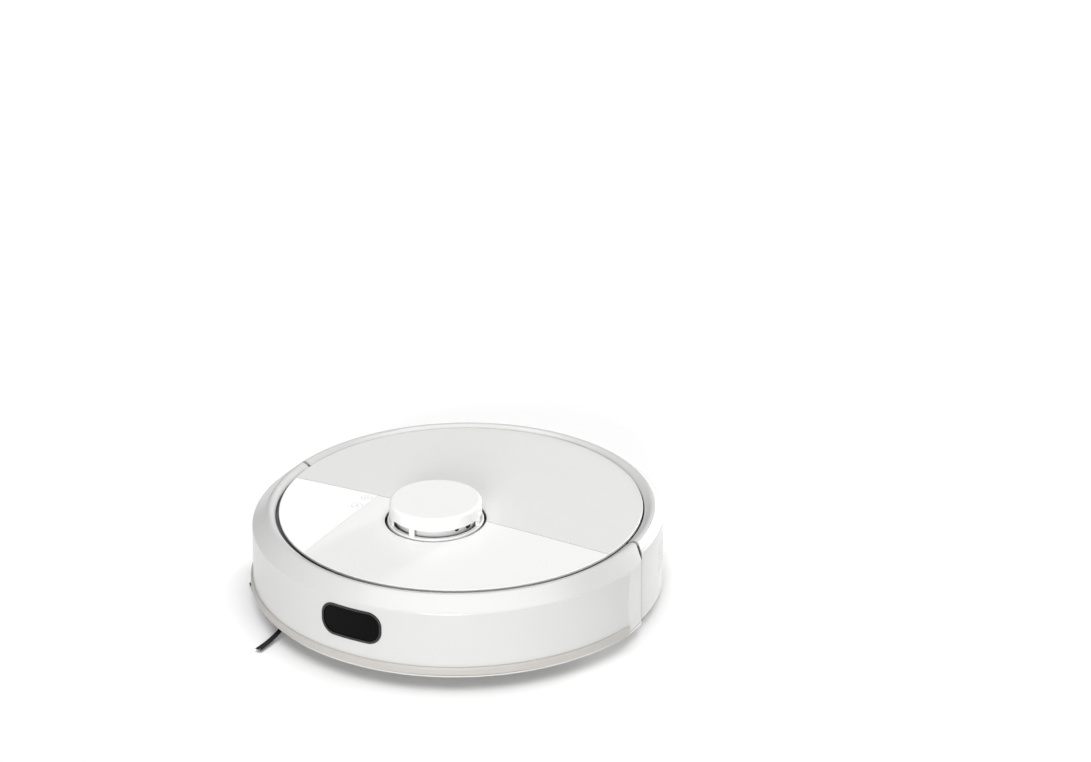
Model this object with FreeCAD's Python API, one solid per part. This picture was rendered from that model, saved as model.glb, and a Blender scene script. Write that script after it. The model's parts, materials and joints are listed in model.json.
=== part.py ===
import FreeCAD, Part
import os
from math import atan2, cos, degrees, hypot, radians, sin, sqrt

# A round robot vacuum. Millimetres, +Z up, front towards -Y, the robot's right side at -X.
# Everything is drawn about the vertical axis of its round top and then moved back by OUTLINE_SHIFT,
# so that the origin lies on the floor under the middle of the whole outline.

OUTLINE_SHIFT = 5.0

# Heights
PAN_BOTTOM = 10.0
PAN_TOP = 12.5
BUMPER_FOOT = 13.3
STRIP_BOTTOM = 14.3
STRIP_TOP = 21.3
DECK_BOTTOM = 70.0
DECK_TOP = 72.5
COVER_EDGE = 77.0
COVER_CROWN = 79.8
COVER_THICK = 2.4
RIDGE_TOP = 78.2
BAND_BOTTOM = 80.2
CAP_BOTTOM = 86.7
CAP_TOP = 97.5

# Radii about the vertical axis
COVER_R = 151.5
RIM_INNER_R = 152.7
RIDGE_R = 159.5
BEVEL_START_R = 161.9
BUMPER_TOP_R = 174.0
BUMPER_FOOT_R = 175.3
STRIP_R = 177.3
REAR_R = 168.3
PAN_FRONT_R = 174.0
SKIRT_OUTER_R = 159.8
SKIRT_WALL = 2.5
SHELL_WALL = 2.2

# The bumper's travel and the joint line between bumper and rear shell
BUMPER_GAP = 3.5
TAPER_START = (172.1, -29.4)
TAPER_END = (171.4, -3.0)
TAPER_WALL = 2.6
PARTING_RIDGE_Y = 5.5
PARTING_WALL_Y = -6.0

# Top covers
SEAM_Y = -22.0
SEAM_GAP = 0.6
PANEL_X = -67.5
PANEL_GAP = 0.3
BUTTON_R = 4.2
BUTTON_GAP = 0.35
HOME_XY = (-74.0, -30.0)
POWER_XY = (-73.5, -46.0)

# Laser turret
TURRET_X = -2.6
TURRET_Y = -37.0
TURRET_BASE_R = 39.7
TURRET_CAP_R = 38.3
TURRET_NOTCH_R = 42.0
ROTOR_R = 32.6
PILLAR_ANGLES = (-90.0, -132.0, 8.0, 75.0, 150.0)

# Wheels
WHEEL_R = 34.0
WHEEL_X0 = 112.0
WHEEL_X1 = 132.0
ARM_X0 = 92.0
ARM_X1 = 106.0
PIVOT_Y = 42.0
PIVOT_Z = 36.0
AXLE_R = 3.0
PIVOT_R = 2.5
RUN_FIT = 0.05
WELL = (90.0, 142.0, -42.0, 54.0)

# Caster
CASTER_Y = -128.0
CASTER_WHEEL_R = 13.0
CASTER_TRAIL = 6.0
CASTER_FORK_R = 22.0
CASTER_HOLE_R = 23.0
STEM_R = 4.0

# Main brush
BRUSH_Y = 38.0
BRUSH_Z = 23.5
BRUSH_R = 21.0
BRUSH_CORE_R = 11.0
BRUSH_HALF = 80.0
CAVITY_R = 23.5
CAVITY_HALF = 82.0
MOUTH_FRONT = 8.0
MOUTH_REAR = 62.0
HOUSING_HALF = 87.0
HOUSING_REAR = 70.0
HOUSING_TOP = 50.0
DUCT_HALF = 42.0
DUCT_Z = (30.0, 44.0)

# Side brush
SIDE_X, SIDE_Y = -96.0, -110.0
SIDE_REACH = 69.5
SIDE_FIRST_ANGLE = -83.4

# Dust bin
BIN_HALF = 90.0
BIN_FRONT = 72.0
BIN_REAR_R = 152.3
BIN_BOTTOM = 15.0
BIN_TOP = 64.0
BIN_WALL = 2.0

# Fan
FAN_X, FAN_Y = 115.0, 82.0
FAN_R = 20.0

# Front sensor window
WINDOW_HALF = 27.8
WINDOW_Z = (34.4, 62.4)
WINDOW_CORNER = 12.0
BEZEL_WIDTH = 2.0

# Side vent, angles in degrees round the rear shell
VENT_ANGLES = (13.0, 40.0)
VENT_Z = (30.0, 62.0)
VENT_PITCH = 3.4
VENT_HOLE_R = 0.8

UP = FreeCAD.Vector(0, 0, 1)
ALONG_X = FreeCAD.Vector(1, 0, 0)
ALONG_Y = FreeCAD.Vector(0, 1, 0)


def vec(x, y, z):
    return FreeCAD.Vector(x, y, z)


def box(x0, x1, y0, y1, z0, z1):
    return Part.makeBox(x1 - x0, y1 - y0, z1 - z0, vec(x0, y0, z0))


def post(x, y, r, z0, z1):
    """A cylinder standing on Z."""
    return Part.makeCylinder(r, z1 - z0, vec(x, y, z0), UP)


def rod(y, z, r, x0, x1):
    """A cylinder lying along X."""
    return Part.makeCylinder(r, x1 - x0, vec(x0, y, z), ALONG_X)


def ring(x, y, r_out, r_in, z0, z1):
    return post(x, y, r_out, z0, z1).cut(post(x, y, r_in, z0 - 1, z1 + 1))


def fused(shapes):
    result = shapes[0]
    for shape in shapes[1:]:
        result = result.fuse(shape)
    return result.removeSplitter()


def prism(points, z0, z1):
    """An upright prism from plan points."""
    corners = [vec(x, y, z0) for x, y in points]
    face = Part.Face(Part.makePolygon(corners + corners[:1]))
    return face.extrude(vec(0, 0, z1 - z0))


def side_prism(points, x0, x1):
    """A prism along X from (y, z) points."""
    corners = [vec(x0, y, z) for y, z in points]
    face = Part.Face(Part.makePolygon(corners + corners[:1]))
    return face.extrude(vec(x1 - x0, 0, 0))


def turned(edges, start=0, sweep=360):
    """Revolve a closed chain of edges, drawn in the XZ plane, about Z."""
    face = Part.Face(Part.Wire(edges))
    face.rotate(vec(0, 0, 0), UP, start)
    return face.revolve(vec(0, 0, 0), UP, sweep)


def line(a, b):
    return Part.makeLine(vec(a[0], 0, a[1]), vec(b[0], 0, b[1]))


def arc(a, mid, b):
    return Part.Arc(vec(a[0], 0, a[1]), vec(mid[0], 0, mid[1]), vec(b[0], 0, b[1])).toShape()


def region(rear, margin):
    """The plan area in front of or behind the line where bumper and rear shell part."""
    step = margin if rear else -margin
    far = 230.0 if rear else -230.0
    wall_y = PARTING_WALL_Y + step
    ridge_y = PARTING_RIDGE_Y + step
    points = [
        (-230, far), (-230, wall_y), (-BUMPER_TOP_R, wall_y), (-BEVEL_START_R, ridge_y),
        (BEVEL_START_R, ridge_y), (BUMPER_TOP_R, wall_y), (230, wall_y), (230, far),
    ]
    return prism(points, -5, 120)


def rim_edges(wall_top, wall_foot):
    """The rim's section: inner slope, ridge, bevel and wall, as a closed chain of edges."""
    inner_low = (RIM_INNER_R, 74.7)
    slope_top = (157.2, 77.6)
    ridge = (RIDGE_R, RIDGE_TOP)
    bevel_top = (BEVEL_START_R, 77.2)
    corner = (wall_top[0] - 1.6, wall_top[1] + 1.9)
    corner_mid = (wall_top[0] - 0.5, wall_top[1] + 1.15)
    inner_foot = (wall_foot[0] - SHELL_WALL, wall_foot[1])
    inner_top = (wall_top[0] - SHELL_WALL, wall_top[1] - 0.9)
    under_bevel = (BEVEL_START_R - 1.0, 74.6)
    under_ridge = (157.6, 74.6)
    lip = (RIM_INNER_R, 73.3)
    return [
        line(inner_low, slope_top), arc(slope_top, ridge, bevel_top), line(bevel_top, corner),
        arc(corner, corner_mid, wall_top), line(wall_top, wall_foot), line(wall_foot, inner_foot),
        line(inner_foot, inner_top), line(inner_top, under_bevel), line(under_bevel, under_ridge),
        line(under_ridge, lip), line(lip, inner_low),
    ]


def bumper_radius(z):
    return BUMPER_TOP_R + (BUMPER_FOOT_R - BUMPER_TOP_R) * (66.6 - z) / (66.6 - STRIP_TOP)


def wall_skin(depth_in, depth_out):
    """A skin that follows the bumper's slightly tapered wall, between two depths."""
    z0, z1 = 25.0, 66.0
    low, high = bumper_radius(z0), bumper_radius(z1)
    outer = Part.makeCone(low + depth_out, high + depth_out, z1 - z0, vec(0, 0, z0))
    inner = Part.makeCone(low - depth_in, high - depth_in, z1 - z0, vec(0, 0, z0))
    return outer.cut(inner)


def window_prism(inset):
    """A rounded rectangle, pushed forwards through the bumper's front."""
    half = WINDOW_HALF - inset
    z0, z1 = WINDOW_Z[0] + inset, WINDOW_Z[1] - inset
    block = box(-half, half, -200, -120, z0, z1)
    edges = [e for e in block.Edges if abs(e.Vertexes[0].Point.y - e.Vertexes[-1].Point.y) > 1]
    return block.makeFillet(WINDOW_CORNER - inset, edges)


def mirrored(shape):
    return shape.mirror(vec(0, 0, 0), ALONG_X)


# ---- top covers ----

def cover_blank():
    """The whole crowned top disc, between two spheres of one radius."""
    rise = COVER_CROWN - COVER_EDGE
    sphere_r = (COVER_R ** 2 + rise ** 2) / (2 * rise)
    disc = post(0, 0, COVER_R, COVER_EDGE - COVER_THICK - 2, COVER_CROWN + 2)
    upper = Part.makeSphere(sphere_r, vec(0, 0, COVER_CROWN - sphere_r))
    lower = Part.makeSphere(sphere_r, vec(0, 0, COVER_CROWN - COVER_THICK - sphere_r))
    blank = disc.common(upper).cut(lower)
    rims = [e for e in blank.Edges if e.BoundBox.ZMin > COVER_EDGE - 0.5 and e.BoundBox.XLength > COVER_R]
    return blank.makeFillet(0.8, rims)


def button(xy, radius):
    """The round plan of a button, cut from the crowned cover."""
    return post(xy[0], xy[1], radius, 60, 90)


def top_covers():
    blank = cover_blank().cut(post(TURRET_X, TURRET_Y, TURRET_NOTCH_R, 60, 90))
    behind = box(-200, 200, SEAM_Y + SEAM_GAP / 2, 200, 50, 100)
    ahead = box(-200, 200, -200, SEAM_Y - SEAM_GAP / 2, 50, 100)
    corner = box(-200, PANEL_X - PANEL_GAP / 2, -200, 0, 50, 100)
    middle = box(PANEL_X + PANEL_GAP / 2, 200, -200, 0, 50, 100)
    front = blank.common(ahead).common(middle)
    panel = blank.common(ahead).common(corner)
    keys = {}
    for name, xy in (("home_button", HOME_XY), ("power_button", POWER_XY)):
        panel = panel.cut(button(xy, BUTTON_R + BUTTON_GAP))
        cap = blank.common(button(xy, BUTTON_R))
        stem = post(xy[0], xy[1], 1.6, 74.2, 77.5)
        keys[name] = fused([cap, stem])
    return {"rear_lid": blank.common(behind), "front_cover": front, "button_panel": panel, **keys}


# ---- bumper and rear shell ----

def tapered_end():
    """The flat at each end of the bumper, which narrows it: what it removes, and the wall behind it."""
    (x0, y0), (x1, y1) = TAPER_START, TAPER_END
    length = hypot(x1 - x0, y1 - y0)
    along_x, along_y = (x1 - x0) / length, (y1 - y0) / length
    outside = prism([(x0, y0), (x1, y1), (x1, 20), (200, 20), (200, y0)], 0, 100)
    start = (x0 - 6 * along_x, y0 - 6 * along_y)
    inner = [(x - TAPER_WALL * along_y, y + TAPER_WALL * along_x) for x, y in ((x1, y1), start)]
    wall = prism([start, (x1, y1)] + inner, BUMPER_FOOT, 76)
    core = Part.makeCone(BUMPER_FOOT_R, BUMPER_TOP_R, 66.6 - BUMPER_FOOT, vec(0, 0, BUMPER_FOOT))
    core = core.fuse(Part.makeCone(BUMPER_TOP_R, BEVEL_START_R, 77.2 - 66.6, vec(0, 0, 66.6)))
    return outside, wall.common(core)


def bumper_parts():
    section = rim_edges((BUMPER_TOP_R, 66.6), (BUMPER_FOOT_R, BUMPER_FOOT))
    shell = turned(section, 170, 200)
    outside, wall = tapered_end()
    shell = shell.cut(outside).cut(mirrored(outside))
    shell = fused([shell, wall, mirrored(wall)]).common(region(False, BUMPER_GAP / 2))
    shell = shell.cut(post(0, -3.2, RIM_INNER_R, 60, 90))
    groove = ring(0, 0, 185, BUMPER_FOOT_R - 1.4, BUMPER_FOOT - 1, STRIP_TOP)
    shell = shell.cut(groove)
    shell = shell.cut(window_prism(0))
    strip = turned([
        line((BUMPER_FOOT_R - 1.4, STRIP_BOTTOM), (BUMPER_FOOT_R - 1.4, STRIP_TOP)),
        line((BUMPER_FOOT_R - 1.4, STRIP_TOP), (STRIP_R - 1.1, STRIP_TOP)),
        arc((STRIP_R - 1.1, STRIP_TOP), (STRIP_R - 0.3, STRIP_TOP - 0.7), (STRIP_R, STRIP_TOP - 2.0)),
        line((STRIP_R, STRIP_TOP - 2.0), (STRIP_R, STRIP_BOTTOM + 1.0)),
        arc((STRIP_R, STRIP_BOTTOM + 1.0), (STRIP_R - 0.3, STRIP_BOTTOM + 0.3), (STRIP_R - 1.0, STRIP_BOTTOM)),
        line((STRIP_R - 1.0, STRIP_BOTTOM), (BUMPER_FOOT_R - 1.4, STRIP_BOTTOM)),
    ])
    end_angle = radians(10)
    end_x, end_y = 220 * cos(end_angle), -220 * sin(end_angle)
    strip = strip.common(prism([(0, 0), (end_x, end_y), (220, -230), (-220, -230), (-end_x, end_y)], 0, 60))
    frame = window_prism(0).cut(window_prism(BEZEL_WIDTH))
    bezel = frame.common(wall_skin(SHELL_WALL, 0.35))
    lens = window_prism(BEZEL_WIDTH).common(wall_skin(SHELL_WALL, -0.5))
    return {"bumper_shell": shell, "bumper_strip": strip, "window_bezel": bezel, "ir_window": lens}


def vent_prism(margin):
    a0, a1 = radians(VENT_ANGLES[0] - margin), radians(VENT_ANGLES[1] + margin)
    reach = 260
    points = [(0, 0), (reach * cos(a0), reach * sin(a0)), (reach * cos(a1), reach * sin(a1))]
    return prism(points, VENT_Z[0], VENT_Z[1])


def rear_parts():
    section = rim_edges((REAR_R, 71.0), (REAR_R, PAN_TOP))
    shell = turned(section, -10, 200).common(region(True, BUMPER_GAP / 2))
    opening = vent_prism(0)
    grille = opening.common(ring(0, 0, REAR_R, REAR_R - SHELL_WALL, VENT_Z[0], VENT_Z[1]))
    shell = shell.cut(opening)
    holes = []
    columns = int(REAR_R * radians(VENT_ANGLES[1] - VENT_ANGLES[0]) / VENT_PITCH) - 1
    rows = int((VENT_Z[1] - VENT_Z[0]) / VENT_PITCH) - 1
    middle = radians(sum(VENT_ANGLES) / 2)
    for column in range(columns):
        angle = middle + (column - (columns - 1) / 2) * VENT_PITCH / REAR_R
        for row in range(rows):
            z = sum(VENT_Z) / 2 + (row - (rows - 1) / 2) * VENT_PITCH
            start = vec(160 * cos(angle), 160 * sin(angle), z)
            holes.append(Part.makeCylinder(VENT_HOLE_R, 12, start, vec(cos(angle), sin(angle), 0)))
    grille = grille.cut(Part.makeCompound(holes))
    contacts = []
    for x in (-42.0, 42.0):
        plate = box(x - 9, x + 9, 100, 200, 27, 41)
        contacts.append(plate.common(ring(0, 0, REAR_R + 0.3, REAR_R - SHELL_WALL, 20, 50)))
        shell = shell.cut(plate)
    return {"rear_shell": shell, "vent_grille": grille, "charging_contacts": Part.makeCompound(contacts)}


# ---- base pan, deck and what they hold ----

SCREW_SPOTS = ((-75, -128), (75, -128), (-149, -30), (149, -30), (-102, 112), (102, 112))
CLIFF_SPOTS = ((-56, -138), (56, -138), (-134, -60), (134, -60))


def screws():
    return [fused([post(x, y, 2.8, 10.6, PAN_TOP), post(x, y, 1.4, 10.6, 24.0)]) for x, y in SCREW_SPOTS]


def cliff_windows():
    return [box(x - 7, x + 7, y - 4, y + 4, PAN_BOTTOM + 0.3, 20.0) for x, y in CLIFF_SPOTS]


def base_pan():
    def plate(radius):
        return turned([
            line((0, PAN_BOTTOM), (radius - 3.0, PAN_BOTTOM)),
            line((radius - 3.0, PAN_BOTTOM), (radius, 11.4)),
            line((radius, 11.4), (radius, PAN_TOP)), line((radius, PAN_TOP), (0, PAN_TOP)),
            line((0, PAN_TOP), (0, PAN_BOTTOM)),
        ])

    pan = plate(REAR_R).fuse(plate(PAN_FRONT_R).common(region(False, 0)))
    well = box(*WELL, 0, 30)
    cuts = [
        well, mirrored(well), post(0, CASTER_Y, CASTER_HOLE_R, 0, 30), post(SIDE_X, SIDE_Y, 4.5, 0, 30),
        box(-CAVITY_HALF, CAVITY_HALF, MOUTH_FRONT, MOUTH_REAR, 0, 30),
    ]
    cuts += screws() + cliff_windows()
    cuts += [post(x, y, 3.4, 0, 10.6) for x, y in SCREW_SPOTS]
    for x in (46, 54, 62):
        for y in (-124, -116, -108):
            cuts.append(post(x, y, 1.3, 0, 30))
    outside = tapered_end()[0]
    cuts += [outside, mirrored(outside)]
    return pan.cut(Part.makeCompound(cuts)).removeSplitter()


def deck():
    plate = post(0, 0, SKIRT_OUTER_R, DECK_BOTTOM, DECK_TOP).common(region(False, 0))
    plate = plate.fuse(post(0, 0, 151.0, DECK_BOTTOM, DECK_TOP))
    skirt = ring(0, 0, SKIRT_OUTER_R, SKIRT_OUTER_R - SKIRT_WALL, PAN_TOP, DECK_TOP).common(region(False, 0))
    seat = ring(0, 0, 148.0, 145.0, DECK_TOP, COVER_CROWN).common(box(-200, 200, -200, SEAM_Y - 3, 60, 90))
    seat = seat.cut(cover_blank()).cut(box(-200, 200, -200, 200, COVER_EDGE - 1.5, 90))
    posts = [post(x, y, 4.0, PAN_TOP, DECK_BOTTOM + 1) for x, y in SCREW_SPOTS]
    body = fused([plate, skirt, seat] + posts)
    bay = box(-94, 94, 68, 170, 50, 90)
    lidar_hole = post(TURRET_X, TURRET_Y, 36.0, 50, 90)
    return body.cut(Part.makeCompound([bay, lidar_hole] + screws())).removeSplitter()


def brush_housing():
    block = box(-HOUSING_HALF, HOUSING_HALF, MOUTH_FRONT - 2, HOUSING_REAR, PAN_TOP, HOUSING_TOP)
    hollow = rod(BRUSH_Y, BRUSH_Z, CAVITY_R, -CAVITY_HALF, CAVITY_HALF)
    mouth = box(-CAVITY_HALF, CAVITY_HALF, MOUTH_FRONT, MOUTH_REAR, 0, BRUSH_Z - 8)
    ramp_points = [(MOUTH_FRONT, 10), (MOUTH_FRONT, 17), (22, BRUSH_Z), (30, 10)]
    ramp = side_prism(ramp_points, -CAVITY_HALF, CAVITY_HALF)
    duct = box(-DUCT_HALF, DUCT_HALF, BRUSH_Y, HOUSING_REAR + 1, *DUCT_Z)
    seats = rod(BRUSH_Y, BRUSH_Z, 8.0, -HOUSING_HALF + 1, HOUSING_HALF - 1)
    return block.cut(Part.makeCompound([hollow, mouth, ramp, duct, seats])).removeSplitter()


def brush_parts():
    core = fused([
        rod(BRUSH_Y, BRUSH_Z, BRUSH_CORE_R, -BRUSH_HALF, BRUSH_HALF),
        rod(BRUSH_Y, BRUSH_Z, AXLE_R, -BRUSH_HALF - 4.5, BRUSH_HALF + 4.5),
    ])
    fins = []
    for index in range(6):
        fin = box(
            -BRUSH_HALF + 2, BRUSH_HALF - 2, BRUSH_Y + BRUSH_CORE_R - 1.5, BRUSH_Y + BRUSH_R,
            BRUSH_Z - 0.9, BRUSH_Z + 0.9,
        )
        fin.rotate(vec(0, BRUSH_Y, BRUSH_Z), ALONG_X, 60 * index)
        core = core.cut(fin)
        fins.append(fin)
    bearings = []
    for x0, x1 in ((-HOUSING_HALF + 1, -CAVITY_HALF), (CAVITY_HALF, HOUSING_HALF - 1)):
        bore = rod(BRUSH_Y, BRUSH_Z, AXLE_R + RUN_FIT, x0 - 1, x1 + 1)
        cup = rod(BRUSH_Y, BRUSH_Z, 8.0, x0, x1).cut(bore)
        bearings.append(cup)
    guard = box(-86, 86, 4, 70, 7.5, PAN_BOTTOM)
    guard = guard.cut(box(-81, 81, MOUTH_FRONT + 0.5, MOUTH_REAR - 0.5, 0, 20))
    latches = {}
    for name, x in (("guard_latch_left", 60), ("guard_latch_right", -60)):
        slot = box(x - 7, x + 7, 63.5, 71, 0, 20)
        guard = guard.cut(slot)
        thumb = box(x - 5, x + 5, 67.0, 69.0, 6.2, 7.2)
        latches[name] = fused([box(x - 6.5, x + 6.5, 64.5, 69.0, 7.2, 9.6), thumb])
    foot = box(60, 70, 20, 32, HOUSING_TOP, 54)
    motor = fused([rod(26, 60.5, 8.0, 46, 78), rod(26, 60.5, 2.0, 78, 84), foot])
    return {
        "brush_core": core, "brush_fins": Part.makeCompound(fins),
        "brush_bearings": Part.makeCompound(bearings),
        "brush_guard": guard, "brush_motor": motor, **latches,
    }


def bin_parts():
    def plug(inset, z0, z1):
        """The bin's plan: flat front and sides, round back."""
        block = box(-BIN_HALF + inset, BIN_HALF - inset, BIN_FRONT + inset, 200, z0, z1)
        return block.common(post(0, 0, BIN_REAR_R - inset, z0, z1))

    tub = plug(0, BIN_BOTTOM, BIN_TOP - 3).cut(plug(BIN_WALL, BIN_BOTTOM + BIN_WALL, BIN_TOP))
    inlet = box(
        -DUCT_HALF + 2, DUCT_HALF - 2, BIN_FRONT - 1, BIN_FRONT + BIN_WALL + 1,
        DUCT_Z[0] + 1, DUCT_Z[1] - 1,
    )
    outlet = box(BIN_HALF - BIN_WALL - 1, BIN_HALF + 1, 84, 116, 26, 50)
    tub = tub.cut(inlet).cut(outlet)
    cover = plug(0, BIN_TOP - 3, BIN_TOP)
    grip = box(-26, 26, 100, 118, BIN_TOP, BIN_TOP + 5.0).cut(box(-22, 22, 103, 115, BIN_TOP, BIN_TOP + 8))
    filter_block = box(BIN_HALF - BIN_WALL - 8, BIN_HALF - BIN_WALL, 82, 118, 24, 52)
    return {"bin_tub": tub, "bin_cover": fused([cover, grip]), "bin_filter": filter_block}


def fan_parts():
    housing = ring(FAN_X, FAN_Y, FAN_R, FAN_R - 2, PAN_TOP, 52)
    housing = housing.fuse(post(FAN_X, FAN_Y, FAN_R, PAN_TOP, PAN_TOP + 2))
    housing = housing.fuse(post(FAN_X, FAN_Y, FAN_R, 50, 52))
    housing = housing.cut(Part.makeCompound([
        box(FAN_X - FAN_R - 2, FAN_X - 10, FAN_Y - 9, FAN_Y + 9, 18, 30),
        box(FAN_X, FAN_X + FAN_R + 2, FAN_Y - 9, FAN_Y + 9, 18, 46),
    ]))
    motor = post(FAN_X, FAN_Y, 11, 33, 50).cut(post(FAN_X, FAN_Y, 1.5 + RUN_FIT, 32, 48))
    blades = [post(FAN_X, FAN_Y, r, z0, z1) for r, z0, z1 in ((15, 18, 19.6), (5, 18, 31), (1.5, 31, 46))]
    for index in range(9):
        blade = box(FAN_X + 4, FAN_X + 15, FAN_Y - 0.6, FAN_Y + 0.6, 19.0, 28.0)
        blade.rotate(vec(FAN_X, FAN_Y, 0), UP, 40 * index)
        blades.append(blade)
    return {"fan_housing": housing.removeSplitter(), "fan_motor": motor, "impeller": fused(blades)}


# ---- wheels ----

def link(x0, x1, a, b):
    """A solid arm along X between two round ends, each (y, z, r)."""
    dy, dz = b[0] - a[0], b[1] - a[1]
    length = hypot(dy, dz)
    ny, nz = -dz / length, dy / length
    points = [
        (a[0] + ny * a[2], a[1] + nz * a[2]), (b[0] + ny * b[2], b[1] + nz * b[2]),
        (b[0] - ny * b[2], b[1] - nz * b[2]), (a[0] - ny * a[2], a[1] - nz * a[2]),
    ]
    return fused([side_prism(points, x0, x1), rod(a[0], a[1], a[2], x0, x1), rod(b[0], b[1], b[2], x0, x1)])


def torsion_spring(radius, wire, turns, x0):
    """Close-wound turns round the arm's pin, each pressed into the next, with two straight ends."""
    pitch = 1.8 * wire
    pieces = []
    for index in range(turns):
        pieces.append(Part.makeTorus(radius, wire, vec(x0 + index * pitch, PIVOT_Y, PIVOT_Z), ALONG_X))
    for x, side in ((x0, 1), (x0 + (turns - 1) * pitch, -1)):
        pieces.append(Part.makeCylinder(wire, 9.0, vec(x, PIVOT_Y + side * radius, PIVOT_Z), vec(0, 0, -side)))
    return fused(pieces)


def wheel_parts():
    """The robot's left wheel unit, at +X."""
    arm = link(ARM_X0, ARM_X1, (PIVOT_Y, PIVOT_Z, 9.0), (0, WHEEL_R, 13.0))
    arm = arm.cut(rod(PIVOT_Y, PIVOT_Z, PIVOT_R + RUN_FIT, ARM_X0 - 1, ARM_X1 + 1))
    arm = arm.cut(rod(0, WHEEL_R, AXLE_R + RUN_FIT, ARM_X0 + 4, ARM_X1 + 1))
    motor = Part.makeCylinder(7.5, 34, vec(99, -8, 55.5), ALONG_Y)
    saddle = box(94, 104, -4, 22, 44, 49).cut(arm)
    hub = fused([
        rod(0, WHEEL_R, 24.0, WHEEL_X0 + 1, WHEEL_X1 - 1).cut(rod(0, WHEEL_R, 20.0, WHEEL_X0 + 12, WHEEL_X1)),
        rod(0, WHEEL_R, 7.0, WHEEL_X0 + 1, WHEEL_X1 - 2), rod(0, WHEEL_R, AXLE_R, ARM_X0 + 5, WHEEL_X0 + 2),
    ])
    tyre = rod(0, WHEEL_R, WHEEL_R, WHEEL_X0, WHEEL_X1).cut(rod(0, WHEEL_R, 24.0, WHEEL_X0 - 1, WHEEL_X1 + 1))
    rims = [e for e in tyre.Edges if e.Curve.TypeId == "Part::GeomCircle" and e.Curve.Radius > WHEEL_R - 0.1]
    tyre = tyre.makeChamfer(1.6, rims)
    ear_points = [(34, 30), (38, 45), (47, 45), (61, PAN_TOP), (54.5, PAN_TOP)]
    bracket = []
    for x0 in (ARM_X0 - 3.5, ARM_X1 + 0.5):
        bracket.append(side_prism(ear_points, x0, x0 + 3.0).fuse(rod(PIVOT_Y, PIVOT_Z, 8.0, x0, x0 + 3.0)))
    bracket.append(box(ARM_X0 - 3.5, ARM_X1 + 3.5, 55.5, 61, PAN_TOP, PAN_TOP + 3))
    bracket = fused(bracket)
    pin = rod(PIVOT_Y, PIVOT_Z, PIVOT_R, ARM_X0 - 3.5, ARM_X1 + 10)
    bracket = bracket.cut(pin)
    spring = torsion_spring(4.4, 0.6, 4, ARM_X1 + 4.4)
    return {
        "wheel_arm": fused([arm, saddle]), "drive_motor": motor.cut(saddle), "wheel_hub": hub, "tyre": tyre,
        "bracket": bracket, "pin": pin, "spring": spring,
    }


def caster_parts():
    socket = ring(0, CASTER_Y, 26.5, 24.0, PAN_TOP, 38).fuse(post(0, CASTER_Y, 26.5, 36, 40))
    socket = socket.cut(post(0, CASTER_Y, STEM_R + RUN_FIT, 30, 50))
    fork = post(0, CASTER_Y, CASTER_FORK_R, 9.0, 32.0).fuse(post(0, CASTER_Y, STEM_R, 31.0, 42.0))
    fork = fork.cut(box(-7.8, 7.8, CASTER_Y - 30, CASTER_Y + 30, 0, 27.6))
    axle_y = CASTER_Y + CASTER_TRAIL
    axle = rod(axle_y, CASTER_WHEEL_R, 1.5, -14, 14)
    wheel = rod(axle_y, CASTER_WHEEL_R, CASTER_WHEEL_R, -7.0, 7.0)
    rims = [e for e in wheel.Edges if e.Curve.TypeId == "Part::GeomCircle"]
    wheel = wheel.makeFillet(1.5, rims).cut(rod(axle_y, CASTER_WHEEL_R, 1.5 + RUN_FIT, -8, 8))
    return {
        "caster_socket": socket, "caster_fork": fork.cut(axle),
        "caster_axle": axle, "caster_wheel": wheel,
    }


def side_brush_parts():
    hub = fused([post(SIDE_X, SIDE_Y, 13.0, 5.0, 9.2), post(SIDE_X, SIDE_Y, AXLE_R, 9.2, 22.0)])
    motor = fused([post(SIDE_X, SIDE_Y, 10.5, PAN_TOP, 34.0), post(SIDE_X + 3, SIDE_Y + 4, 9.0, 34.0, 54.0)])
    motor = motor.cut(post(SIDE_X, SIDE_Y, AXLE_R + RUN_FIT, 0, 23.0))
    tufts = []
    bend_r, tuft_r = 110.0, 2.1
    start_r = 11.0
    chord = SIDE_REACH - start_r
    half_angle = degrees(atan2(chord / 2, sqrt(bend_r ** 2 - (chord / 2) ** 2)))
    for index in range(3):
        tuft = Part.makeTorus(bend_r, tuft_r, vec(0, 0, 0), UP, 0, 360, 2 * half_angle)
        tuft.rotate(vec(0, 0, 0), UP, 90 - half_angle)
        tuft.translate(vec(0, -sqrt(bend_r ** 2 - (chord / 2) ** 2), 0))
        tuft.rotate(vec(0, 0, 0), ALONG_Y, degrees(atan2(3.9, chord)))
        tuft.translate(vec(start_r + chord / 2, 0, 4.6))
        tuft.rotate(vec(0, 0, 0), UP, SIDE_FIRST_ANGLE + 120 * index)
        tuft.translate(vec(SIDE_X, SIDE_Y, 0))
        hub = hub.cut(tuft)
        tufts.append(tuft)
    return {"side_brush_hub": hub, "side_brush_tufts": Part.makeCompound(tufts), "side_brush_motor": motor}


# ---- turret ----

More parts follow.
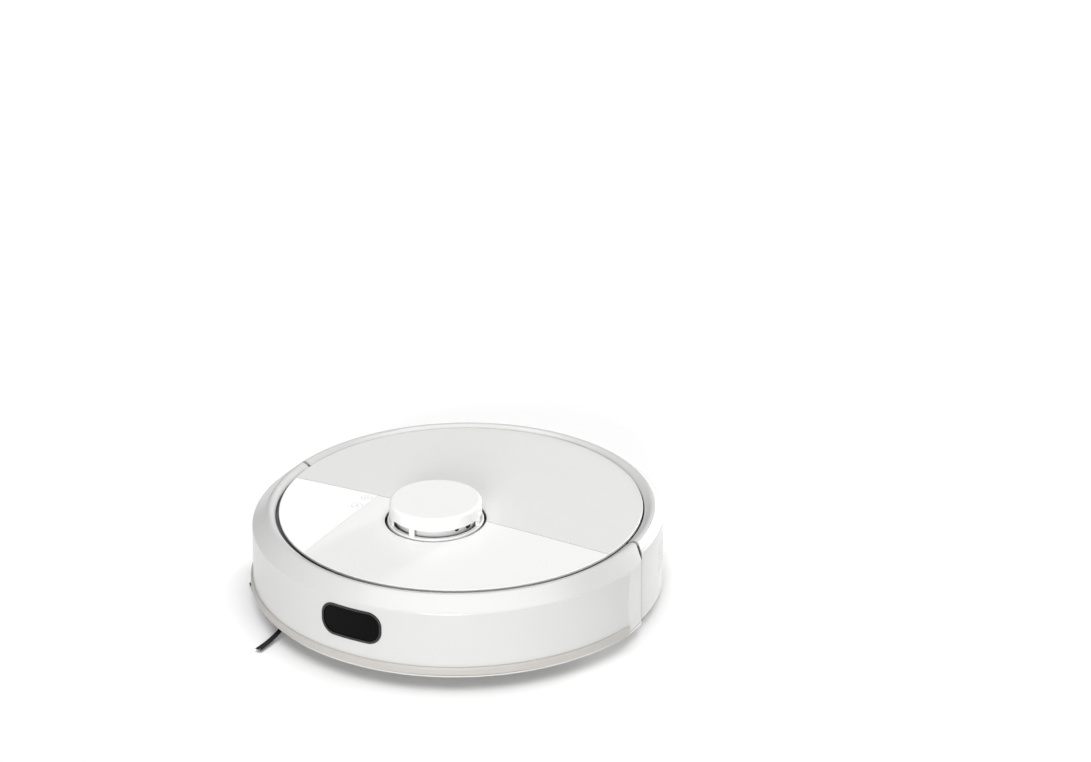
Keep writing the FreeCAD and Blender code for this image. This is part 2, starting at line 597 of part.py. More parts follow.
def turret_parts():
    base = fused([
        post(TURRET_X, TURRET_Y, 35.6, DECK_BOTTOM - 2, DECK_BOTTOM + 5),
        ring(TURRET_X, TURRET_Y, 38.5, 34, DECK_BOTTOM - 2, DECK_BOTTOM),
    ])
    base = base.cut(post(TURRET_X, TURRET_Y, AXLE_R + RUN_FIT, 60, 90))
    rotor = post(TURRET_X, TURRET_Y, ROTOR_R, 76.0, 93.0)
    rotor = fused([rotor, post(TURRET_X, TURRET_Y, AXLE_R, 69.0, 77.0)])
    lenses = []
    for angle, radius, height in ((-4, 4.2, 83.6), (-27, 2.2, 83.6)):
        a = radians(angle)
        start = vec(TURRET_X + 26 * cos(a), TURRET_Y + 26 * sin(a), height)
        lens = Part.makeCylinder(radius, 12, start, vec(cos(a), sin(a), 0))
        lens = lens.common(post(TURRET_X, TURRET_Y, ROTOR_R, 70, 95))
        rotor = rotor.cut(lens)
        lenses.append(lens)
    collar = turned([
        line((36.3, 77.4), (TURRET_BASE_R, 77.4)), line((TURRET_BASE_R, 77.4), (TURRET_BASE_R, 79.5)),
        arc((TURRET_BASE_R, 79.5), (39.5, 80.0), (39.0, BAND_BOTTOM)),
        line((39.0, BAND_BOTTOM), (36.3, BAND_BOTTOM)),
        line((36.3, BAND_BOTTOM), (36.3, 77.4)),
    ])
    cap = turned([
        line((36.5, CAP_BOTTOM), (TURRET_CAP_R, CAP_BOTTOM)),
        line((TURRET_CAP_R, CAP_BOTTOM), (37.9, 95.0)),
        arc((37.9, 95.0), (37.0, 96.8), (35.2, CAP_TOP)), line((35.2, CAP_TOP), (0, CAP_TOP)),
        line((0, CAP_TOP), (0, CAP_TOP - 2)), line((0, CAP_TOP - 2), (35.0, CAP_TOP - 2)),
        arc((35.0, CAP_TOP - 2), (35.9, 95.1), (36.2, 94.3)), line((36.2, 94.3), (36.5, CAP_BOTTOM)),
    ])
    pillars = []
    for angle in PILLAR_ANGLES:
        pillar = box(36.3, 38.2, -2.4, 2.4, BAND_BOTTOM - 0.5, CAP_BOTTOM + 0.5)
        pillar.rotate(vec(0, 0, 0), UP, angle)
        pillars.append(pillar)
    cover = fused([collar, cap] + pillars)
    cover.translate(vec(TURRET_X, TURRET_Y, 0))
    motor = post(34, TURRET_Y - 42, 10.0, 50, DECK_BOTTOM)
    return {
        "lidar_base": base, "lidar_rotor": rotor, "lidar_lenses": Part.makeCompound(lenses),
        "lidar_cover": cover, "lidar_motor": motor,
    }


def inner_parts():
    battery = box(-52, 52, -98, -34, PAN_TOP, 36)
    board = box(-64, 64, -96, -4, 44, 45.6)
    chips = [box(-20, 0, -60, -40, 45.6, 48), box(12, 26, -84, -70, 45.6, 48)]
    chips.append(box(-50, -30, -30, -18, 45.6, 52))
    legs = [box(x - 3, x + 3, y - 3, y + 3, 36, 44) for x in (-46, 46) for y in (-92, -40)]
    speaker = fused([post(54, -116, 14, PAN_TOP, 15.0), post(54, -116, 9, 15.0, 24.0)])
    switches = []
    for angle in (-45, -135):
        switch = box(SKIRT_OUTER_R - 1, SKIRT_OUTER_R + 4.5, -7, 7, 34, 44)
        switch = switch.cut(post(0, 0, SKIRT_OUTER_R, 30, 50))
        switch.rotate(vec(0, 0, 0), UP, angle)
        switches.append(switch)
    magnets = [post(x, y, 4.0, DECK_TOP, 73.9) for x, y in ((-118, 40), (118, 40))]
    lid_magnets = [post(x, y, 4.0, 74.4, 76.5).cut(cover_blank()) for x, y in ((-118, 40), (118, 40))]
    return {
        "battery_pack": battery, "main_board": fused([board] + chips + legs), "speaker": speaker,
        "bumper_switches": Part.makeCompound(switches), "deck_magnets": Part.makeCompound(magnets),
        "lid_magnets": Part.makeCompound(lid_magnets),
    }


def build():
    parts = {"base_pan": base_pan(), "deck": deck(), "brush_housing": brush_housing()}
    parts["pan_screws"] = Part.makeCompound(screws())
    parts["cliff_sensors"] = Part.makeCompound(cliff_windows())
    for group in (top_covers, bumper_parts, rear_parts, brush_parts, bin_parts, fan_parts, caster_parts):
        parts.update(group())
    for group in (side_brush_parts, turret_parts, inner_parts):
        parts.update(group())
    unit = wheel_parts()
    for name in ("wheel_arm", "drive_motor", "wheel_hub", "tyre"):
        parts[name + "_left"] = unit[name]
        parts[name + "_right"] = mirrored(unit[name])
    for node, name in (("arm_brackets", "bracket"), ("arm_pins", "pin"), ("arm_springs", "spring")):
        parts[node] = Part.makeCompound([unit[name], mirrored(unit[name])])
    return parts


os.makedirs("parts", exist_ok=True)
for node_name, node_shape in build().items():
    node_shape.translate(vec(0, OUTLINE_SHIFT, 0))
    node_shape.exportStep("parts/" + node_name + ".step")
    print(node_name, len(node_shape.Solids), round(node_shape.Volume / 1000, 2), node_shape.isValid())
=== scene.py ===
import json
import random
from math import cos, pi, radians, sin, sqrt

import bmesh
import bpy
from mathutils import Matrix, Vector


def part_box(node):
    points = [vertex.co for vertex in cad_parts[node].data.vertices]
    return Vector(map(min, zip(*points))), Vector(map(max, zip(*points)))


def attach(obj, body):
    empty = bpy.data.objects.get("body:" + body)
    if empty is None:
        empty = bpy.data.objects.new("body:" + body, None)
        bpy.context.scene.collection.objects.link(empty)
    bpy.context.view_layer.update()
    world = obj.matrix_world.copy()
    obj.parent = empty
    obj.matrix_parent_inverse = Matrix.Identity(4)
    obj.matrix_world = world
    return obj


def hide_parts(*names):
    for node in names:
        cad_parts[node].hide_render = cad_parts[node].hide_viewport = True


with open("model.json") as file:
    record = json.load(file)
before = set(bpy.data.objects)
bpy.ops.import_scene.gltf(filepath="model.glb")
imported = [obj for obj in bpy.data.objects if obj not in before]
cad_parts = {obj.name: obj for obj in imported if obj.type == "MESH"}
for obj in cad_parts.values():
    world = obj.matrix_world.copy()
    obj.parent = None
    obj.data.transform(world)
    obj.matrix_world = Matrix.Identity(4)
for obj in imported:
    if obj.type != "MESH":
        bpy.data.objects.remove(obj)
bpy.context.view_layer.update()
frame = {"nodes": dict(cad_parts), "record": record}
random.seed(7)

# The look of the robot vacuum: materials for every node of the frame, finer pieces for the parts that
# CAD draws plainly, and a pale studio. The frame is in metres.

# ---- places read from the frame ----

MM = 0.001
lid_low, lid_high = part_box("rear_lid")
COVER_R = (lid_high.x - lid_low.x) / 2
AXIS = Vector((0.0, lid_high.y - COVER_R, 0.0))
FLOOR_Z = 0.0


# ---- node materials ----

NOISE_ROUGHNESS = 0.55
COAT_ROUGHNESS = 0.12
FINE, SMOOTH, GLASSY, DEEP = 0.00004, 0.000004, 0.0, 0.0002    # depths of the grain, in metres


def linear(value):
    """An sRGB grey or channel as linear light."""
    return value / 12.92 if value <= 0.04045 else ((value + 0.055) / 1.055) ** 2.4


def srgb(r, g, b):
    """An opaque colour from channels of 0 to 255."""
    return (linear(r / 255), linear(g / 255), linear(b / 255), 1.0)


class Nodes:
    """A small helper that adds and joins shader nodes."""

    def __init__(self, name):
        self.material = bpy.data.materials.new(name)
        self.material.use_nodes = True
        self.tree = self.material.node_tree
        self.shader = self.tree.nodes["Principled BSDF"]
        self.place = self.add("ShaderNodeTexCoord").outputs["Object"]

    def add(self, kind):
        return self.tree.nodes.new(kind)

    def join(self, source, target):
        self.tree.links.new(source, target)

    def noise(self, scale, detail=3.0):
        """Clouds with a number of cells per metre."""
        node = self.add("ShaderNodeTexNoise")
        node.inputs["Scale"].default_value = scale
        node.inputs["Detail"].default_value = detail
        node.inputs["Roughness"].default_value = NOISE_ROUGHNESS
        self.join(self.place, node.inputs["Vector"])
        return node.outputs["Fac"]

    def spread(self, source, low, high, start=0.3, end=0.7):
        """Stretch the values between start and end over low to high."""
        node = self.add("ShaderNodeMapRange")
        node.inputs["From Min"].default_value = start
        node.inputs["From Max"].default_value = end
        node.inputs["To Min"].default_value = low
        node.inputs["To Max"].default_value = high
        self.join(source, node.inputs["Value"])
        return node.outputs["Result"]

    def blend(self, source, first, second):
        """Mix two colours by a value."""
        node = self.add("ShaderNodeMix")
        node.data_type = "RGBA"
        node.inputs["A"].default_value = first
        node.inputs["B"].default_value = second
        self.join(source, node.inputs["Factor"])
        return node.outputs["Result"]

    def bump(self, source, distance, strength):
        """Relief with a depth in metres."""
        node = self.add("ShaderNodeBump")
        node.inputs["Distance"].default_value = distance
        node.inputs["Strength"].default_value = strength
        self.join(source, node.inputs["Height"])
        return node.outputs["Normal"]


def tinted(color, factor):
    return (color[0] * factor, color[1] * factor, color[2] * factor, 1.0)


def moulded(name, color, rough, coat=0.0, grain=2500.0, depth=0.00002, mottle=0.03, specular=0.5):
    """Moulded plastic: a faint cloudy colour, uneven gloss and a fine grain."""
    n = Nodes(name)
    cloud = n.spread(n.noise(38.0, 4.0), 0.0, 1.0)
    n.join(n.blend(cloud, tinted(color, 1.0 - mottle), color), n.shader.inputs["Base Color"])
    n.join(n.spread(n.noise(170.0), rough * 0.88, rough * 1.12), n.shader.inputs["Roughness"])
    n.join(n.bump(n.noise(grain, 2.0), depth, 0.6), n.shader.inputs["Normal"])
    n.shader.inputs["Specular IOR Level"].default_value = specular
    n.shader.inputs["Coat Weight"].default_value = coat
    n.shader.inputs["Coat Roughness"].default_value = COAT_ROUGHNESS
    return n.material


def brushed(name, color, rough, axis_scale):
    """Turned or brushed metal, with fine lines drawn out along one axis."""
    n = Nodes(name)
    mapping = n.add("ShaderNodeMapping")
    mapping.inputs["Scale"].default_value = axis_scale
    n.join(n.place, mapping.inputs["Vector"])
    lines = n.add("ShaderNodeTexNoise")
    lines.inputs["Scale"].default_value = 900.0
    n.join(mapping.outputs["Vector"], lines.inputs["Vector"])
    n.join(n.blend(lines.outputs["Fac"], tinted(color, 0.8), color), n.shader.inputs["Base Color"])
    n.join(n.spread(lines.outputs["Fac"], rough * 0.7, rough * 1.3), n.shader.inputs["Roughness"])
    n.join(n.bump(lines.outputs["Fac"], 0.00002, 0.5), n.shader.inputs["Normal"])
    n.shader.inputs["Metallic"].default_value = 1.0
    return n.material


def rubber(name, color, rough):
    """Rubber: dull, with a dusty bloom and a coarse skin."""
    n = Nodes(name)
    dust = n.spread(n.noise(60.0, 5.0), 0.0, 0.6, 0.5, 0.8)
    n.join(n.blend(dust, color, tinted(color, 1.6)), n.shader.inputs["Base Color"])
    n.join(n.spread(n.noise(300.0), rough * 0.9, min(1.0, rough * 1.1)), n.shader.inputs["Roughness"])
    n.join(n.bump(n.noise(1400.0, 3.0), 0.00004, 0.7), n.shader.inputs["Normal"])
    n.shader.inputs["Specular IOR Level"].default_value = 0.3
    return n.material


MATERIALS = {
    # The shell is the same white plastic as the cover, but its colour is set darker (0.50 against 0.72) as
    # painted shade, so the walls read shaded.
    "white_shell": moulded("shell_white_painted_shade", (0.50, 0.50, 0.495, 1.0), 0.34, coat=0.25, mottle=0.012),
    "white_cover": moulded("cover_white", (0.72, 0.72, 0.713, 1.0), 0.36, coat=0.15, mottle=0.01),
    "panel_white": moulded(
        "panel_white", (0.85, 0.85, 0.85, 1.0), 0.16, coat=0.6, depth=SMOOTH, mottle=0.006
    ),
    "lid_grey": moulded("lid_grey", (0.615, 0.617, 0.609, 1.0), 0.42, grain=3200.0, mottle=0.015),
    "strip_beige": moulded("strip_beige", (0.40, 0.385, 0.362, 1.0), 0.5, grain=1500.0, mottle=0.04),
    "window_black": moulded(
        "window_black", (0.003, 0.003, 0.0035, 1.0), 0.08, coat=0.04, depth=GLASSY, mottle=0.2, specular=0.04
    ),
    "bezel_black": moulded(
        "bezel_black", (0.006, 0.006, 0.0065, 1.0), 0.22, coat=0.2, depth=SMOOTH, mottle=0.2
    ),
    "pan_grey": moulded("pan_grey", srgb(206, 205, 203), 0.5, grain=1800.0, depth=FINE, mottle=0.04),
    "inner_grey": moulded("inner_grey", srgb(88, 88, 90), 0.6, grain=1500.0, depth=FINE, mottle=0.08),
    "dark_plastic": moulded("dark_plastic", srgb(44, 44, 46), 0.48, grain=1500.0, depth=FINE, mottle=0.12),
    "lens_dark": moulded("lens_dark", (0.01, 0.006, 0.012, 1.0), 0.06, coat=1.0, depth=GLASSY, mottle=0.3),
    "rotor_grey": moulded("rotor_grey", (0.62, 0.62, 0.62, 1.0), 0.4, mottle=0.04),
    "battery_wrap": moulded("battery_wrap", srgb(52, 60, 78), 0.35, grain=900.0, mottle=0.15),
    "board_green": moulded("board_green", srgb(26, 92, 58), 0.35, grain=600.0, depth=2 * FINE, mottle=0.3),
    "steel": brushed("steel_brushed", (0.55, 0.55, 0.56, 1.0), 0.32, (1.0, 14.0, 14.0)),
    "magnet": brushed("magnet_plate", (0.72, 0.72, 0.70, 1.0), 0.18, (6.0, 6.0, 1.0)),
    "contact_metal": brushed("contact_gold", (0.78, 0.62, 0.34, 1.0), 0.24, (12.0, 1.0, 1.0)),
    "bin_smoke": moulded("bin_smoke", srgb(92, 94, 98), 0.18, coat=0.5, depth=0.00001, mottle=0.06),
    "filter_white": moulded("filter_white", srgb(226, 225, 220), 0.85, grain=700.0, depth=DEEP, mottle=0.12),
    "roller_rubber": rubber("roller_rubber", srgb(58, 58, 60), 0.6),
    "bristle_black": moulded("bristle_black", (0.008, 0.008, 0.009, 1.0), 0.38, grain=2500.0, mottle=0.4),
    "tyre_black": rubber("tyre_black", srgb(38, 38, 39), 0.75),
    "catch_orange": moulded("catch_orange", srgb(214, 118, 62), 0.45, mottle=0.06),
}


def wear(obj, material):
    obj.data.materials.clear()
    obj.data.materials.append(material)


for entry in frame["record"]["subparts"]:
    wear(frame["nodes"][entry["node"]], MATERIALS[entry["material_slot"]])


# ---- mesh helpers: the sizes of pieces are in millimetres, about the axis of the round top ----

def point(x, y, z):
    """A place in the frame, from millimetres about the axis of the round top."""
    return Vector((x * MM, y * MM, z * MM)) + AXIS


NEARLY_UP = Vector((0.013, 0.021, 1.0))


class Shape:
    """Collects faces of one piece and turns them into an object that rides on a body."""

    def __init__(self):
        self.verts = []
        self.faces = []

    def add(self, verts, faces):
        start = len(self.verts)
        self.verts.extend(verts)
        self.faces.extend([tuple(start + i for i in face) for face in faces])

    def grid(self, rows, close_rows=False, close_columns=False):
        """Quads through equal rows of points."""
        count, width = len(rows), len(rows[0])
        faces = []
        for i in range(count if close_rows else count - 1):
            for j in range(width if close_columns else width - 1):
                a, b = i * width, ((i + 1) % count) * width
                k = (j + 1) % width
                faces.append((a + j, a + k, b + k, b + j))
        self.add([p for row in rows for p in row], faces)

    def loft(self, rings):
        """A skin over equal rings of points, closed at both ends."""
        sides = len(rings[0])
        start = len(self.verts)
        self.grid(rings, close_columns=True)
        last = len(self.verts) - sides
        self.faces.append(tuple(start + k for k in range(sides)))
        self.faces.append(tuple(last + k for k in reversed(range(sides))))

    def tube(self, path, radii, sides):
        """A round strand along a path, closed at both ends."""
        rows = []
        for i, p in enumerate(path):
            ahead = (path[min(i + 1, len(path) - 1)] - path[max(i - 1, 0)]).normalized()
            across = ahead.cross(NEARLY_UP).normalized()
            up = across.cross(ahead)
            row = []
            for k in range(sides):
                a = 2 * pi * k / sides
                row.append(p + (across * cos(a) + up * sin(a)) * radii[i])
            rows.append(row)
        self.loft(rows)

    def piece(self, name, body, slot, material=None, smooth=35.0, replaces=()):
        """Make the object, with edges sharper than smooth degrees kept sharp."""
        mesh = bpy.data.meshes.new(name)
        mesh.from_pydata([tuple(v) for v in self.verts], [], self.faces)
        work = bmesh.new()
        work.from_mesh(mesh)
        bmesh.ops.recalc_face_normals(work, faces=work.faces)
        work.to_mesh(mesh)
        work.free()
        for polygon in mesh.polygons:
            polygon.use_smooth = True
        mesh.set_sharp_from_angle(angle=radians(smooth))
        obj = bpy.data.objects.new(name, mesh)
        bpy.context.scene.collection.objects.link(obj)
        wear(obj, material or MATERIALS[slot])
        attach(obj, body)
        if replaces:
            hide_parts(*replaces)
        return obj


# ---- side brush: three curved bundles of filaments ----

SIDE_HUB = (-96.0, -110.0)
SIDE_START, SIDE_REACH = 11.0, 69.0     # from the hub's axis to a bundle's root and tip
SIDE_BEND = 110.0                       # radius of a bundle's curve
SIDE_FIRST = -83.4                      # direction of the first bundle, in degrees
SIDE_ROOT_Z, SIDE_DROP = 6.45, 3.7
BUNDLES, FILAMENTS = 3, 60


def make_side_brush():
    """Bundles of filaments that spread and sink a little towards their tips."""
    shape = Shape()
    chord = SIDE_REACH - SIDE_START
    drop = sqrt(SIDE_BEND ** 2 - (chord / 2) ** 2)
    for bundle in range(BUNDLES):
        turn = radians(SIDE_FIRST + 360 / BUNDLES * bundle)
        for _ in range(FILAMENTS):
            angle, share = random.uniform(0, 2 * pi), sqrt(random.random())
            reach = chord * random.uniform(0.93, 1.0)
            fan = random.uniform(-0.4, 0.4)
            path, radii = [], []
            for step in range(11):
                t = step / 10
                x = reach * t
                bow = sqrt(SIDE_BEND ** 2 - (x - chord / 2) ** 2) - drop
                wide = (1.55 + 1.1 * t ** 1.6) * share
                tall = (1.5 - 0.45 * t) * share
                px = SIDE_START - 1.0 + x
                py = bow + wide * cos(angle) + fan * t * t
                pz = SIDE_ROOT_Z - SIDE_DROP * t + tall * sin(angle)
                path.append(point(
                    SIDE_HUB[0] + px * cos(turn) - py * sin(turn),
                    SIDE_HUB[1] + px * sin(turn) + py * cos(turn), pz,
                ))
                radii.append((0.27 - 0.09 * t) * MM)
            shape.tube(path, radii, 5)
    shape.piece(
        "side_brush_bristles", "side_brush", "bristle_black", smooth=60, replaces=["side_brush_tufts"]
    )


make_side_brush()


# ---- tyres with chevron lugs ----

WHEEL_X, WHEEL_Z = (112.0, 132.0), 34.0
TYRE_R, TYRE_BASE_R, TYRE_BORE_R = 34.0, 32.3, 24.0
TYRE_STEPS = 120
LUGS = 30
LUG_FOOT, LUG_TOP = 0.062, 0.045        # half widths of a lug, in radians
LUG_LEAN = 0.16                         # how far its outer end leans round, in radians


def make_tyre(name, body, node, side):
    """A round carcass with two rows of leaning lugs, the rows half a lug apart."""
    shape = Shape()
    x0, x1 = WHEEL_X
    outline = [
        (x0, TYRE_BORE_R), (x0, TYRE_BASE_R - 2.0), (x0 + 0.6, TYRE_BASE_R - 0.6), (x0 + 2.0, TYRE_BASE_R),
        (x1 - 2.0, TYRE_BASE_R), (x1 - 0.6, TYRE_BASE_R - 0.6), (x1, TYRE_BASE_R - 2.0), (x1, TYRE_BORE_R),
    ]
    rows = []
    for step in range(TYRE_STEPS):
        a = 2 * pi * step / TYRE_STEPS
        rows.append([point(side * x, r * cos(a), WHEEL_Z + r * sin(a)) for x, r in outline])
    shape.grid(rows, close_rows=True, close_columns=True)
    middle = (x0 + x1) / 2
    for lug in range(LUGS):
        for half in (-1, 1):
            base = 2 * pi * (lug + (0.5 if half > 0 else 0.0)) / LUGS
            sections = []
            for step in range(5):
                t = step / 4
                x = middle + half * (0.5 + t * (x1 - middle - 1.4))
                lean = base + LUG_LEAN * t
                foot = TYRE_BASE_R - 0.4
                top = TYRE_R - 0.05 - (0.9 * t ** 6)
                ring = []
                for da, r in ((-LUG_FOOT, foot), (-LUG_TOP, top), (LUG_TOP, top), (LUG_FOOT, foot)):
                    a = lean + da
                    ring.append(point(side * x, r * cos(a), WHEEL_Z + r * sin(a)))
                sections.append(ring)
            shape.loft(sections)
    shape.piece(name, body, "tyre_black", replaces=[node])


make_tyre("tyre_tread_left", "left_wheel", "tyre_left", 1)
make_tyre("tyre_tread_right", "right_wheel", "tyre_right", -1)


# ---- main roller: rubber blades and bristle rows, both in a V ----

ROLLER_Y, ROLLER_Z = 38.0, 23.5
ROLLER_CORE_R, ROLLER_R, ROLLER_HALF = 11.0, 20.8, 78.0
V_TWIST = radians(58)
ROWS, TUFTS, HAIRS = 3, 54, 12          # rows of blades and of bristles, tufts in a row, hairs in a tuft
BLADE_STEPS = 60


def roller_point(x, radius, angle):
    """A place about the roller's axis."""
    return point(x, ROLLER_Y + radius * cos(angle), ROLLER_Z + radius * sin(angle))


def v_angle(row, x):
    """The angle of a V-shaped row at x along the roller."""
    return 2 * pi * row / ROWS + V_TWIST * abs(x) / ROLLER_HALF


def make_blades():
    blades = Shape()
    for blade in range(ROWS):
        rows = []
        for step in range(BLADE_STEPS + 1):
            x = -ROLLER_HALF + 2 * ROLLER_HALF * step / BLADE_STEPS
            a = v_angle(blade, x)
            rows.append([
                roller_point(x, ROLLER_CORE_R - 0.6, a - 0.11), roller_point(x, 15.5, a - 0.045),
                roller_point(x, ROLLER_R, a + 0.03), roller_point(x, ROLLER_R, a + 0.08),
                roller_point(x, 15.5, a + 0.035), roller_point(x, ROLLER_CORE_R - 0.6, a + 0.11),
            ])
        blades.loft(rows)
    blades.piece("roller_blades", "roller", "roller_rubber", replaces=["brush_fins"])


def make_bristles():
    """Rows of hairs half way between the blades, each leaning a little its own way."""
    bristles = Shape()
    for row in range(ROWS):
        for tuft in range(TUFTS):
            x = -ROLLER_HALF + 2 + (2 * ROLLER_HALF - 4) * tuft / (TUFTS - 1)
            a = v_angle(row + 0.5, x)
            for _ in range(HAIRS):
                dx, da = random.uniform(-1.1, 1.1), random.uniform(-0.06, 0.06)
                tip = ROLLER_R - random.uniform(0.0, 1.2)
                lean = random.uniform(-0.05, 0.05)
                path = [
                    roller_point(x + dx * 0.5, ROLLER_CORE_R - 0.4, a + da * 0.5),
                    roller_point(x + dx * 0.9, 16.0, a + da * 0.8 + lean * 0.4),
                    roller_point(x + dx * 1.3, tip, a + da + lean),
                ]
                bristles.tube(path, [0.14 * MM, 0.13 * MM, 0.09 * MM], 3)
    bristles.piece("roller_bristles", "roller", "bristle_black", smooth=70)


make_blades()
make_bristles()


# ---- torsion springs on the arms' pins ----

PIN_Y, PIN_Z = 42.0, 36.0
SPRING_X, SPRING_LENGTH = 110.4, 3.2
COIL_R, COIL_WIRE_R, COIL_LEG = 4.4, 0.6, 8.6
TURNS, TURN_STEPS = 4, 20


def make_springs():
    """Each spring: a straight leg, the turns, and a leg the other way."""
    shape = Shape()
    steps = TURNS * TURN_STEPS
    for side in (1, -1):
        path = [point(side * (SPRING_X - 0.2), PIN_Y + COIL_R, PIN_Z - COIL_LEG)]
        for step in range(steps + 1):
            a = 2 * pi * step / TURN_STEPS
            x = SPRING_X + SPRING_LENGTH * step / steps
            path.append(point(side * x, PIN_Y + COIL_R * cos(a), PIN_Z + COIL_R * sin(a)))
        path.append(point(side * (SPRING_X + SPRING_LENGTH + 0.1), PIN_Y + COIL_R, PIN_Z + COIL_LEG))
        shape.tube(path, [COIL_WIRE_R * MM] * len(path), 8)
    shape.piece("arm_spring_coils", "chassis", "steel", smooth=60, replaces=["arm_springs"])


make_springs()


# ---- marks on the two keys, laid on the curved caps ----

HOME_KEY, POWER_KEY = (-74.0, -30.0), (-73.5, -46.0)
MARK_SUNK, MARK_PROUD = -0.02, 0.045
ABOVE_ALL_Z = 120.0


def on_top(node, x, y, lift):
    """The point on a node's top above x and y, raised a little."""
    start = point(x, y, ABOVE_ALL_Z)
    hit, place, _, _ = frame["nodes"][node].ray_cast(start, Vector((0, 0, -1)))
    return place + Vector((0, 0, lift * MM)) if hit else start


def make_home_mark():
    """A thin ring."""
    ring = Shape()
    rows = []
    for step in range(48):
        a = 2 * pi * step / 48
        row = []
        for radius, lift in ((1.35, MARK_SUNK), (1.42, MARK_PROUD), (1.78, MARK_PROUD), (1.85, MARK_SUNK)):
            x, y = HOME_KEY[0] + radius * cos(a), HOME_KEY[1] + radius * sin(a)
            row.append(on_top("home_button", x, y, lift))
        rows.append(row)
    ring.grid(rows, close_rows=True)
    material = moulded("mark_grey", srgb(170, 170, 170), 0.4, mottle=0.1)
    ring.piece("home_key_mark", "home_key", "lid_grey", material)


def make_power_mark():
    """A short bar."""
    dash = Shape()
    rows = []
    edge, flat = (1.5, MARK_SUNK), (1.35, MARK_PROUD)
    for x, (half, lift) in ((-0.34, edge), (-0.28, flat), (0.28, flat), (0.34, edge)):
        ends = (POWER_KEY[1] - half, POWER_KEY[1] + half)
        rows.append([on_top("power_button", POWER_KEY[0] + x, y, lift) for y in ends])
    dash.grid(rows)
    material = moulded("mark_dark", srgb(70, 70, 72), 0.4, mottle=0.1)
    dash.piece("power_key_mark", "power_key", "bezel_black", material)


make_home_mark()
make_power_mark()


# ---- moulded ribs on the deck, seen once the lid is off ----

DECK_TOP = 72.5
RIB_SUNK, RIB_EDGE = 0.3, 0.35
WALL_RISE, WALL_HALF = 1.3, 0.9
RIB_RISE, RIB_HALF = 1.0, 0.7


def add_bar(shape, x0, x1, y0, y1, rise):
    """A bar on the deck with chamfered top edges."""
    top = DECK_TOP + rise
    rings = []
    for inset, z in ((0.0, DECK_TOP - RIB_SUNK), (0.0, top - RIB_EDGE), (RIB_EDGE, top)):
        rings.append([
            point(x0 + inset, y0 + inset, z), point(x1 - inset, y0 + inset, z),
            point(x1 - inset, y1 - inset, z), point(x0 + inset, y1 - inset, z),
        ])
    shape.loft(rings)


def make_deck_ribs():
    """A low wall before the dust bin and at its sides, and cross ribs in front of that."""
    ribs = Shape()
    bay_y0, bay_y1, bay_x = 63.5, 108, 97.5
    add_bar(ribs, -98, 98, bay_y0 - WALL_HALF, bay_y0 + WALL_HALF, WALL_RISE)
    for side in (-1, 1):
        x = side * bay_x
        add_bar(ribs, x - WALL_HALF, x + WALL_HALF, bay_y0 + WALL_HALF, bay_y1, WALL_RISE)
        x0, x1 = sorted((side * 52, side * 100))
        for y in (-10, 12, 34):
            add_bar(ribs, x0, x1, y - RIB_HALF, y + RIB_HALF, RIB_RISE)
    for x in (-30, -10, 10, 30):
        add_bar(ribs, x - RIB_HALF, x + RIB_HALF, 10, bay_y0 - WALL_HALF, RIB_RISE)
    ribs.piece("deck_ribs", "chassis", "inner_grey")


make_deck_ribs()


# ---- dust bin: upright ribs on its front wall ----

BIN_RIB_X = (-72, -54, -36, 36, 54, 72)
BIN_RIB_DEPTH = 0.6


def make_bin_ribs():
    """Low pads with sloped edges on all four sides."""
    low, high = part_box("bin_tub")
    front = (low.y - AXIS.y) / MM
    z0, z1 = low.z / MM + 6, high.z / MM - 7
    across = ((-1.2, 0.0), (-0.8, BIN_RIB_DEPTH), (0.8, BIN_RIB_DEPTH), (1.2, 0.0))
    upward = (
        (z0, 0.0), (z0 + BIN_RIB_DEPTH, BIN_RIB_DEPTH),
        (z1 - BIN_RIB_DEPTH, BIN_RIB_DEPTH), (z1, 0.0),
    )
    ribs = Shape()
    for x in BIN_RIB_X:
        ribs.grid([[point(x + dx, front - min(depth, dy), z) for dx, dy in across] for z, depth in upward])
    ribs.piece("bin_ribs", "dust_bin", "bin_smoke")


make_bin_ribs()


# ---- floor, lights and camera ----

FLOOR_HALF = 6.0
HALF_HEIGHT = 0.04                      # of the robot: what the softbox looks at
FLOOR_DARK, FLOOR_LIGHT = (0.81, 0.81, 0.81, 1.0), (0.83, 0.83, 0.83, 1.0)


def make_floor():
    mesh = bpy.data.meshes.new("floor")
    corners = [(x * FLOOR_HALF, y * FLOOR_HALF, FLOOR_Z) for x, y in ((-1, -1), (1, -1), (1, 1), (-1, 1))]
    mesh.from_pydata(corners, [], [(0, 1, 2, 3)])
    floor = bpy.data.objects.new("floor", mesh)
    bpy.context.scene.collection.objects.link(floor)
    n = Nodes("floor_white")
    n.join(n.blend(n.noise(3.0), FLOOR_DARK, FLOOR_LIGHT), n.shader.inputs["Base Color"])
    n.shader.inputs["Roughness"].default_value = 0.9
    n.shader.inputs["Specular IOR Level"].default_value = 0.0
    wear(floor, n.material)


def towards(azimuth, elevation):
    """A direction out from the robot, from an azimuth measured from +X towards +Y."""
    a, e = radians(azimuth), radians(elevation)
    return Vector((cos(a) * cos(e), sin(a) * cos(e), sin(e)))


def softbox(name, azimuth, elevation, distance, width, height, power):
    """An area light that faces the robot."""
    light = bpy.data.lights.new(name, "AREA")
    light.shape = "RECTANGLE"
    light.size, light.size_y = width, height
    light.energy = power
    holder = bpy.data.objects.new(name, light)
    out = towards(azimuth, elevation)
    holder.location = AXIS + Vector((0, 0, HALF_HEIGHT)) + out * distance
    holder.rotation_euler = out.to_track_quat("Z", "Y").to_euler()
    bpy.context.scene.collection.objects.link(holder)


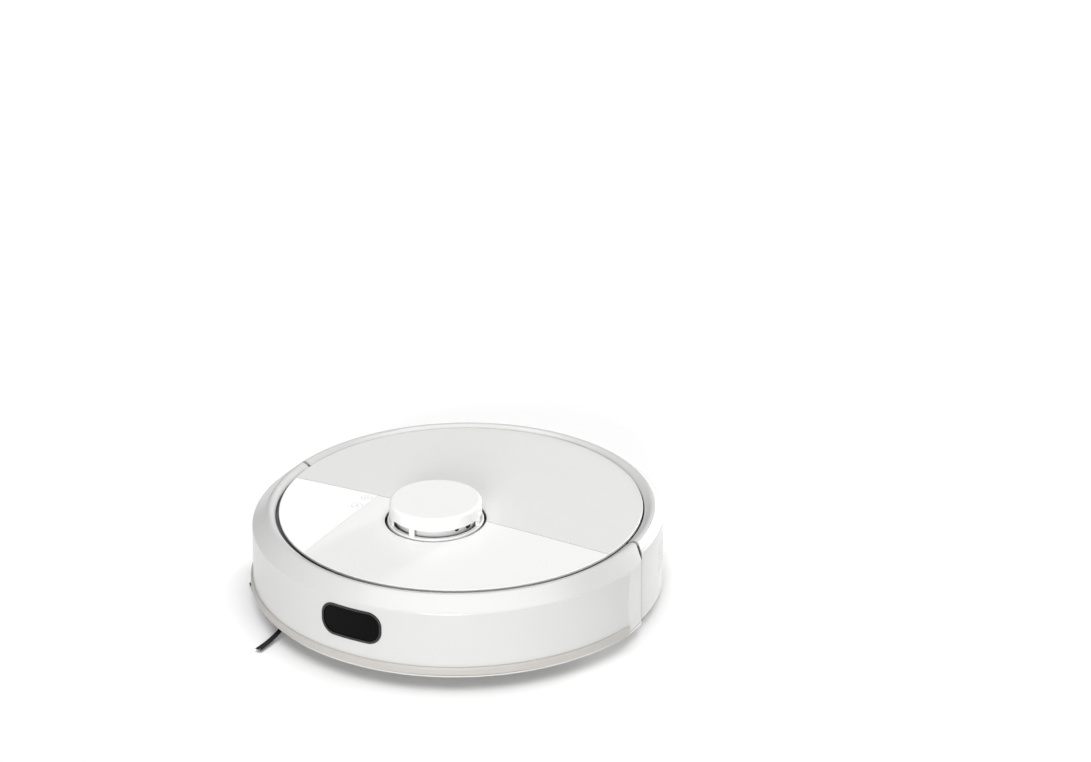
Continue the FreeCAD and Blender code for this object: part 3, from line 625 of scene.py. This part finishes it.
def sun(name, azimuth, elevation, spread, strength):
    """A distant light, softer the wider its spread in degrees."""
    light = bpy.data.lights.new(name, "SUN")
    light.energy = strength
    light.angle = radians(spread)
    holder = bpy.data.objects.new(name, light)
    holder.rotation_euler = towards(azimuth, elevation).to_track_quat("Z", "Y").to_euler()
    bpy.context.scene.collection.objects.link(holder)


def make_world(strength):
    """An even white glow from all round."""
    world = bpy.data.worlds.new("studio")
    bpy.context.scene.world = world
    world.use_nodes = True
    world.node_tree.nodes["Background"].inputs["Color"].default_value = (1, 1, 1, 1)
    world.node_tree.nodes["Background"].inputs["Strength"].default_value = strength


# The view: an orbit about the axis of the round top, then small turns of the camera itself
VIEW_AZIMUTH = 30.81
VIEW_ELEVATION = 27.98
VIEW_DISTANCE = 2.4336
VIEW_PAN, VIEW_TILT, VIEW_ROLL = -1.730, 4.045, 1.209
SENSOR_MM, LENS_MM = 36.0, 94.86


def make_camera():
    out = towards(VIEW_AZIMUTH - 90, VIEW_ELEVATION)
    forward = -out
    right = Vector((cos(radians(VIEW_AZIMUTH)), sin(radians(VIEW_AZIMUTH)), 0.0))
    up = right.cross(forward)
    turn = Matrix.Rotation(radians(VIEW_PAN), 3, up)
    forward, right = turn @ forward, turn @ right
    turn = Matrix.Rotation(radians(VIEW_TILT), 3, right)
    forward, up = turn @ forward, turn @ up
    turn = Matrix.Rotation(radians(VIEW_ROLL), 3, forward)
    right, up = turn @ right, turn @ up
    data = bpy.data.cameras.new("camera")
    data.sensor_width = SENSOR_MM
    data.lens = LENS_MM
    data.clip_end = 50.0
    camera = bpy.data.objects.new("camera", data)
    place = AXIS + out * VIEW_DISTANCE
    camera.matrix_world = Matrix((
        (right.x, up.x, -forward.x, place.x), (right.y, up.y, -forward.y, place.y),
        (right.z, up.z, -forward.z, place.z), (0, 0, 0, 1),
    ))
    bpy.context.scene.collection.objects.link(camera)
    bpy.context.scene.camera = camera


make_floor()
make_world(0.03)
sun("sky_top", -60, 84, 64, 3.05)
sun("front_key", -69, 12, 20, 3.0)
sun("right_fill", 78, 6, 8, 4.0)
softbox("back_sheen", 121, 30, 2.4, 3.0, 1.3, 5)
make_camera()
bpy.context.scene.view_settings.view_transform = "Standard"
